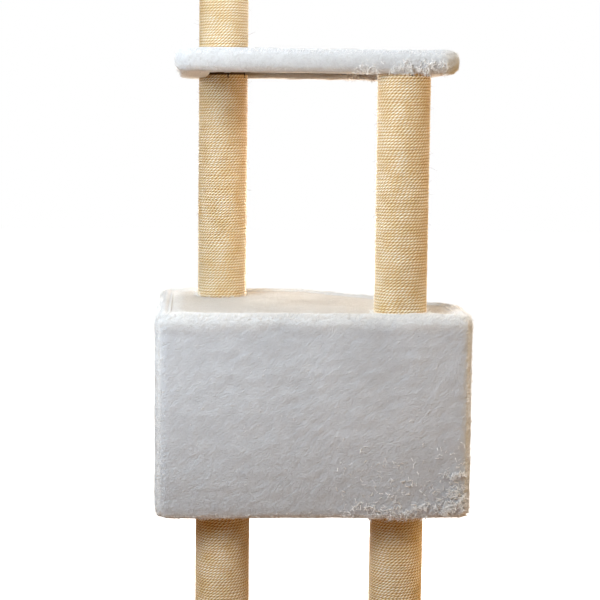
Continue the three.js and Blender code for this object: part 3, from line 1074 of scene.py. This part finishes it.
def rim_weight(outline, low_z=-1.0):
    def weight(points, facing):
        up = np.abs(facing[:, 2])
        out = (outside(points, shrink(outline, PLUSH)) > 0.001) & (points[:, 2] > low_z)
        rims = 0.01 + smoothstep(0.25, 0.5, up) * smoothstep(0.97, 0.7, up)
        return out * rims * (1 - 0.7 * painted_left_end_shade(points, outline))
    return weight


base_low, base_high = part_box("base_cover")
BASE = rectangle(base_low, base_high)
platform_low, platform_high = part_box("platform_cover")
PLATFORM = [
    (platform_low.x - 0.0015, platform_low.y), (platform_high.x + 0.0055, platform_low.y),
    (platform_high.x - TAPER, platform_high.y), (platform_low.x - 0.0015, platform_high.y),
]
perch_low, perch_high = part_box("perch_cover")
PERCH = rectangle(perch_low, perch_high)
BOARD_RIMS = (0.015, 0.016)  # how far the lower and the upper edges are rounded
HEM_SAG = 0.0018  # how far the hem hangs where it is stapled


def platform_curls(points, facing):
    """Curly locks low on the right of the platform's front."""
    x, _, z = points.T
    clumps = smoothstep(-0.35, 0.3, noise(points, 0.018, 33))
    low_right = smoothstep(0.05, 0.12, x) * smoothstep(0.226, 0.2, x)
    low_right *= smoothstep(0.024, 0.012, z - platform_low.z)
    return low_right * (facing[:, 1] < -0.2) * clumps + 1e-6


def dress_board(kind, board_plush, rims, staple_row, curls=()):
    """Adds the locks and the staples to a covered board."""
    piece, sheet = board_plush
    details = [rim_tufts(kind, piece, **rims)]
    details += [curly_tufts(kind, piece, **settings) for settings in curls]
    details.append(staples(kind + "_staples", hem_spots(*staple_row)))


dress_board(
    "base",
    covered_board("base_plush", "base_cover", BASE, BASE_RADIUS, "base_board", (0.006, 0.011),
                  below=[], above=LOWER_POSTS, seed=200),
    dict(count=3600, weight=rim_weight(BASE, 0.01), seed=61, length=(0.0025, 0.0045), radius=0.0003),
    (BASE, BASE_RADIUS + 0.02, base_low.z - 0.0004),
)
dress_board(
    "platform",
    covered_board("platform_plush", "platform_cover", PLATFORM, PLATFORM_RADII, "platform_board",
                  BOARD_RIMS, below=UPPER_POSTS, above=["top_post"], seed=220, skew=0.009,
                  curls=platform_curls),
    dict(count=3600, weight=rim_weight(PLATFORM), seed=63, length=(0.002, 0.0035), radius=0.00025),
    (PLATFORM, 0.045, platform_low.z - HEM_SAG),
    [dict(count=800, weight=platform_curls, seed=65, length=(0.004, 0.007), radius=0.0007)],
)
dress_board(
    "perch",
    covered_board("perch_plush", "perch_cover", PERCH, PERCH_RADIUS, "perch_board",
                  BOARD_RIMS, below=["top_post"], above=[], seed=240),
    dict(count=2600, weight=rim_weight(PERCH), seed=67, length=(0.002, 0.0035), radius=0.00025),
    (PERCH, PERCH_RADIUS, perch_low.z - HEM_SAG),
)

# ---------- fluff round the foot of each post, and the staples that hold a rope's end ----------


def post_fluff(post, surface, seed, count=170):
    """Locks of pile that stand up against the foot of a post."""
    centre, radius = middle(post + "_rope"), rope_radius(post)
    rng = np.random.default_rng(seed)
    angle = rng.uniform(0, 2 * math.pi, count)
    out = spokes(angle)
    reach = radius + rng.uniform(0.0, 0.003, count)
    roots = np.array([centre.x, centre.y, surface]) + out * reach[:, None]
    ways = out * rng.uniform(-0.1, 0.5, count)[:, None] + (0, 0, 1) + rng.normal(0, 0.25, (count, 3))
    bends = out * 0.5 + rng.normal(0, 0.4, (count, 3))
    lengths, radii = rng.uniform(0.004, 0.008, count), rng.uniform(0.0004, 0.0008, count)
    curls = 0.2 * rng.choice([-1, 1], count)
    finish_piece(spikes(post + "_fluff", roots, ways, bends, lengths, radii, curls), "plush_tips")


for index, post in enumerate(POSTS):
    foot = base_high.z if post in LOWER_POSTS else roof_top if post in UPPER_POSTS else platform_high.z
    post_fluff(post, foot - 0.002, 300 + index)


def rope_end_staples(post):
    """Two staples across the last turn of a rope, on the front, near black so that they also paint the
    shade round them.
    """
    centre, height = middle(post + "_rope"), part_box(post + "_rope")[1].z - ROPE_END - 0.002
    spots = []
    for out in spokes(np.radians((-80, -32))):
        at = np.array([centre.x, centre.y, height]) + out * (rope_radius(post) - 0.0001)
        spots.append((at, (0, 0, 1), -out))
    staples(post + "_rope_staples", spots, "dull_steel", 0.0011)


for post in POSTS:
    rope_end_staples(post)

# ---------- the CAD nodes that show as they are ----------

for entry in frame["record"]["subparts"]:
    shown = frame["nodes"][entry["node"]]
    if not shown.hide_render:
        shown.data.materials.clear()
        shown.data.materials.append(materials[entry["material_slot"]])

# ---------- camera ----------

CAMERA_TURN = math.radians(3.44)  # from straight ahead, a little towards +X
CAMERA_DIP = math.radians(6.02)
CAMERA_ROLL = math.radians(0.69)
CAMERA_BACK = 2.8149  # in front of the condo's front face
CAMERA_LEFT = 0.1952  # left of the middle of the condo
CAMERA_UP = 0.3252  # above the condo's roof
LENS = 102.4  # millimetres, in front of a picture 36 mm wide

camera_data = bpy.data.cameras.new("camera")
camera_data.sensor_width = 36.0
camera_data.lens = LENS
camera_data.clip_end = 60
camera = link("camera", camera_data)
camera.location = (-CAMERA_LEFT, wall_low.y - CAMERA_BACK, roof_top + CAMERA_UP)
camera.rotation_mode = "QUATERNION"
aim = Matrix.Rotation(-CAMERA_TURN, 4, "Z") @ Matrix.Rotation(math.pi / 2 - CAMERA_DIP, 4, "X")
camera.rotation_quaternion = (aim @ Matrix.Rotation(CAMERA_ROLL, 4, "Z")).to_quaternion()
bpy.context.scene.camera = camera

# ---------- floor, backdrop and light ----------

FLOOR = 14.0  # half the side of the floor
FLOOR_GLOWS = 0.35  # how far from the middle the floor begins to glow
FLOOR_WHITE = 0.95  # how far from the middle it is white
FLOOR_BOUNCE = (0.40, 0.20, 0.07)  # the warm light that the floor throws back up
AMBIENT = 0.03  # how bright the world is for everything but the camera

LIGHTS = {
    # name: (place, aim, width and height, power in watts, colour)
    "key": ((-0.65, -1.30, 1.70), (0, 0, 1.0), (0.5, 0.5), 15, (1.0, 0.98, 0.95)),
    "left_front": ((-1.1, -1.3, 1.34), (0, 0, 1.0), (0.5, 0.6), 16, (0.72, 0.88, 1.0)),
    "top": ((0.0, 0.0, 3.6), (0, 0, 0.9), (2.6, 2.6), 78, (1.0, 1.0, 1.0)),
    "left": ((-2.4, 0.0, 1.8), (0, 0, 0.9), (1.2, 1.8), 9, (1.0, 0.93, 0.75)),
    "right": ((2.2, -0.4, 1.2), (0, 0, 1.0), (0.9, 1.6), 24, (1.0, 0.81, 0.49)),
    "right_back": ((2.1, 1.0, 1.0), (0, 0, 1.0), (0.9, 1.6), 7, (1.0, 0.45, 0.08)),
    "high_right": ((1.5, 1.2, 1.9), (0.15, 0, 0.8), (0.8, 0.8), 14, (1.0, 0.92, 0.80)),
    "back_low": ((0.1, 1.9, 0.75), (0, 0, 1.2), (1.6, 0.8), 60, (1.0, 0.90, 0.78)),
    "under": ((0.0, 0.70, 0.84), (0, 0.1, 1.19), (0.7, 0.2), 5, (1.0, 0.88, 0.74)),
}


def stage_floor():
    corners = [(-FLOOR, -FLOOR, 0), (FLOOR, -FLOOR, 0), (FLOOR, FLOOR, 0), (-FLOOR, FLOOR, 0)]
    floor = mesh_piece("floor", corners, [(0, 1, 2, 3)])
    material, graph, skin = shader("floor")
    distance = graph.node("VectorMath", operation="LENGTH")
    graph.link(graph.place(), distance.inputs[0])
    fade = graph.node("MapRange", interpolation_type="SMOOTHSTEP")
    set_inputs(fade, {"From Min": FLOOR_GLOWS, "From Max": FLOOR_WHITE})
    graph.link(distance.outputs["Value"], fade.inputs["Value"])
    seen = graph.node("LightPath").outputs["Is Camera Ray"]
    glow = graph.math("MULTIPLY", seen, fade.outputs["Result"])
    tone = graph.ramp(seen, [(0.0, FLOOR_BOUNCE), (1.0, (0.80, 0.80, 0.80))])
    graph.link(tone, skin.inputs["Base Color"])
    set_inputs(skin, {"Roughness": 0.9, "Specular IOR Level": 0.1, "Emission Color": (1, 1, 1, 1)})
    graph.link(glow, skin.inputs["Emission Strength"])
    floor.data.materials.append(material)


def studio_world():
    world = bpy.data.worlds.new("studio")
    world.use_nodes = True
    graph, background = Graph(world.node_tree), world.node_tree.nodes["Background"]
    seen = graph.node("LightPath").outputs["Is Camera Ray"]
    strength = graph.math("MULTIPLY_ADD", seen, 1.0 - AMBIENT, AMBIENT)
    graph.link(strength, background.inputs["Strength"])
    background.inputs["Color"].default_value = (1, 1, 1, 1)
    bpy.context.scene.world = world


def area_light(name, place, aim_at, size, power, colour):
    data = bpy.data.lights.new(name, "AREA")
    data.shape = "RECTANGLE"
    data.size, data.size_y = size
    data.energy = power
    data.color = colour
    light = link(name, data)
    light.location = place
    light.visible_camera = False
    light.rotation_mode = "QUATERNION"
    light.rotation_quaternion = (Vector(aim_at) - Vector(place)).to_track_quat("-Z", "Y")


stage_floor()
studio_world()
for name, settings in LIGHTS.items():
    area_light(name, *settings)
bpy.context.scene.view_settings.view_transform = "Standard"
